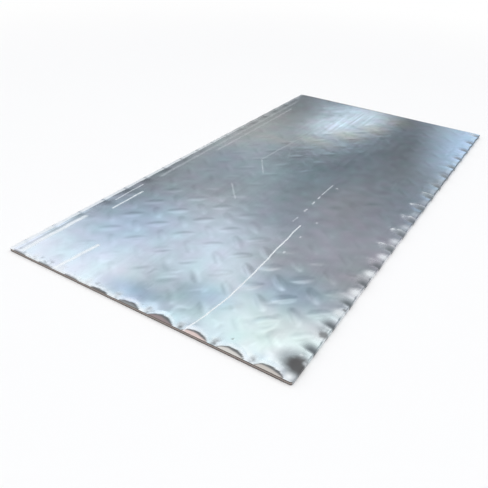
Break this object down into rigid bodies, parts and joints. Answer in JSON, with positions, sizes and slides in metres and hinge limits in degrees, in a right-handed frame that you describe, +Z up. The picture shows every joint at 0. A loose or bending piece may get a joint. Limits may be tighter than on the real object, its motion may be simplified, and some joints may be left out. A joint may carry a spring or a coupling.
{
  "type": "aluminium checker plate",
  "caption": "Flat rectangular sheet of aluminium with low lens-shaped bars raised on its top face and with three of its edges drawn down in scoops and flutes, for treads, covers and trim.",
  "frame": {"origin": "centre of the underside", "axes": "+X across the sheet, +Y along it towards the plain edge, +Z up through the face with the bars"},
  "size_m": [0.3, 0.6, 0.0045],
  "materials": {
    "mill_aluminium": "mill finish, scratched and lightly hazed"
  },
  "bodies": {
    "root": {"checker_plate": "mill_aluminium"}
  },
  "joints": []
}
